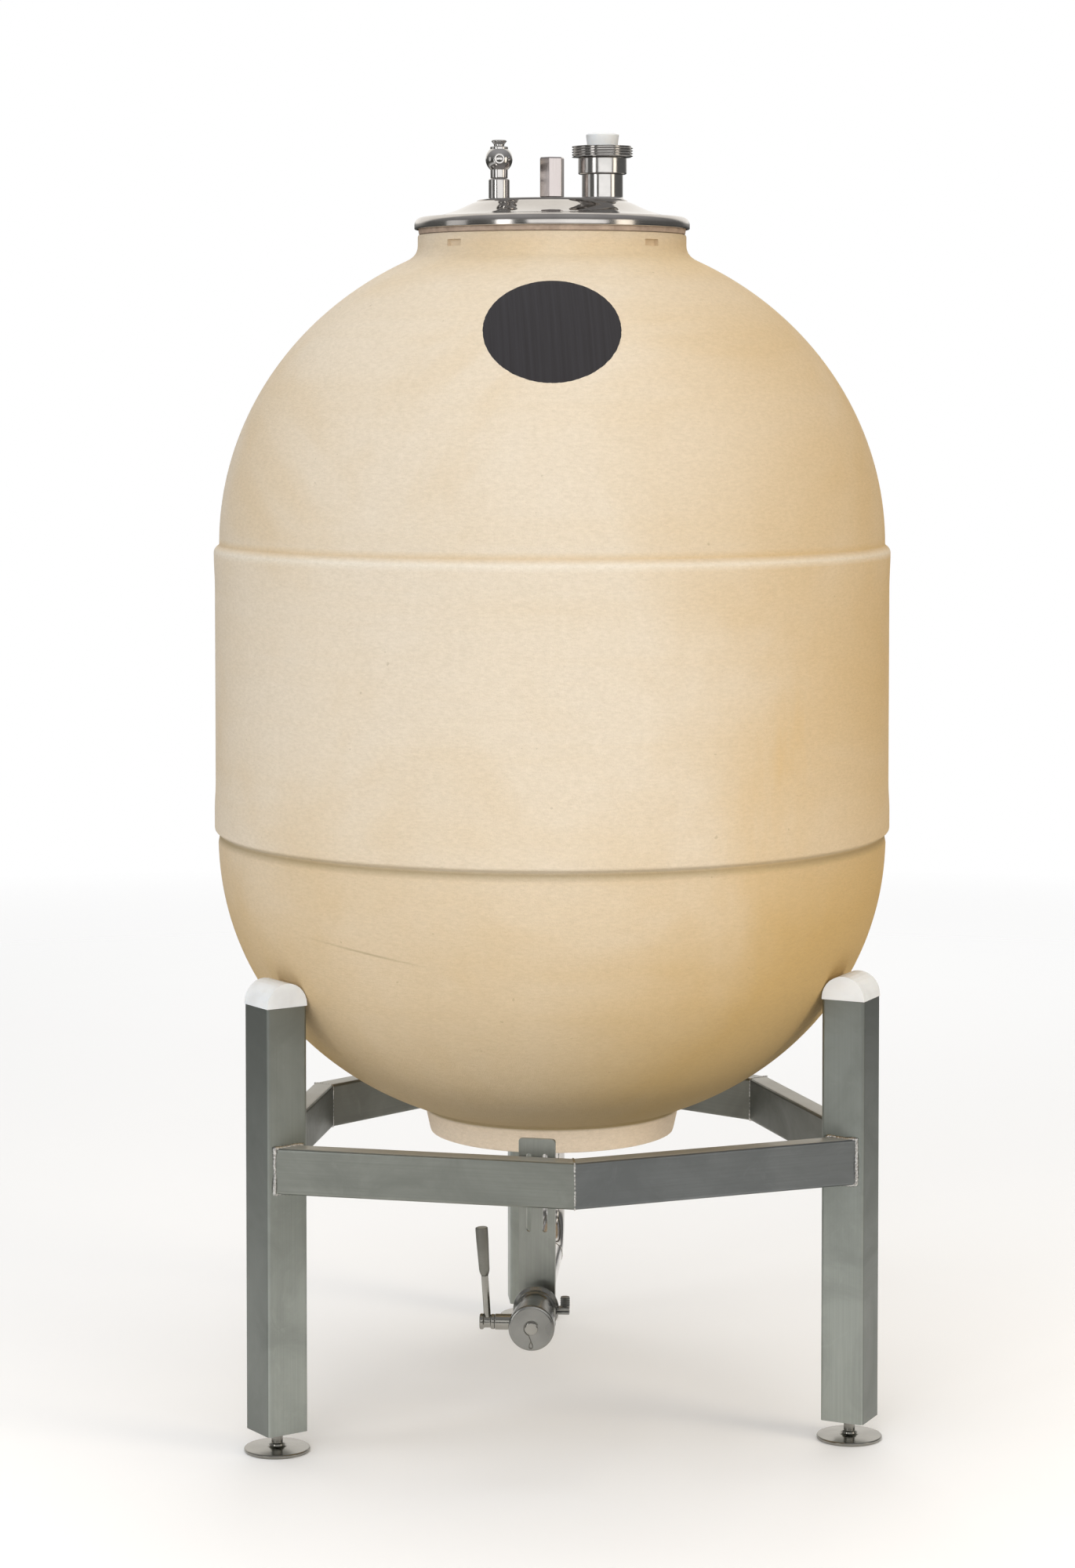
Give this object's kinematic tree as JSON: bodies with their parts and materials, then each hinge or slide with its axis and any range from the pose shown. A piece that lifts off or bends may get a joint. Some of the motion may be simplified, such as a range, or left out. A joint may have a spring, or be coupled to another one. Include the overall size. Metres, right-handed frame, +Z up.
{
  "type": "vertical storage tank",
  "caption": "Upright stoneware storage tank with domed ends and a polished steel lid, on a three-legged steel frame with a drain valve.",
  "frame": {"origin": "on the floor, on the tank's upright axis", "axes": "+Z up along the tank's axis, -Y is the front, where the drain valve sticks out between two legs, and +X is the right-hand side seen from the front"},
  "size_m": [0.925, 0.946, 1.7474],
  "materials": {
    "stoneware": "fired clay, matte and finely grained",
    "polished_steel": "polished",
    "satin_steel": "satin",
    "white_plastic": "smooth, milky white",
    "seal_rubber": "matte dark brown"
  },
  "bodies": {
    "tank": {"upper_dome": "stoneware", "middle_band": "stoneware", "lower_dome": "stoneware", "lid": "polished_steel", "vent_stem": "polished_steel", "vent_body": "polished_steel", "vent_knob": "polished_steel", "filler_tube": "polished_steel", "filler_collar": "polished_steel", "filler_thread": "polished_steel", "foot_left": "polished_steel", "foot_right": "polished_steel", "foot_rear": "polished_steel", "drain_pipe": "polished_steel", "clamp_ring": "polished_steel", "clamp_nut": "polished_steel", "valve_body": "polished_steel", "valve_cap": "polished_steel", "clamp_column": "satin_steel", "leg_left": "satin_steel", "leg_right": "satin_steel", "leg_rear": "satin_steel", "leg_left_end_plate": "satin_steel", "leg_right_end_plate": "satin_steel", "leg_rear_end_plate": "satin_steel", "bar_front_left": "satin_steel", "bar_front_right": "satin_steel", "bar_left_front": "satin_steel", "bar_left_rear": "satin_steel", "bar_right_rear": "satin_steel", "bar_right_front": "satin_steel", "drain_bracket": "satin_steel", "outlet_flange": "satin_steel", "pad_left": "white_plastic", "pad_right": "white_plastic", "pad_rear": "white_plastic", "filler_bung": "white_plastic", "lid_seal": "seal_rubber"},
    "valve_lever": {"lever_hub": "polished_steel", "lever_rod": "polished_steel", "lever_grip": "satin_steel"}
  },
  "joints": [
    {"name": "valve_lever_turn", "type": "hinge", "parent": "tank", "child": "valve_lever", "pos_m": [-0.11404, -0.40881, 0.2157], "axis": [0.9907, -0.1357, 0], "range_deg": [0, 90]}
  ]
}
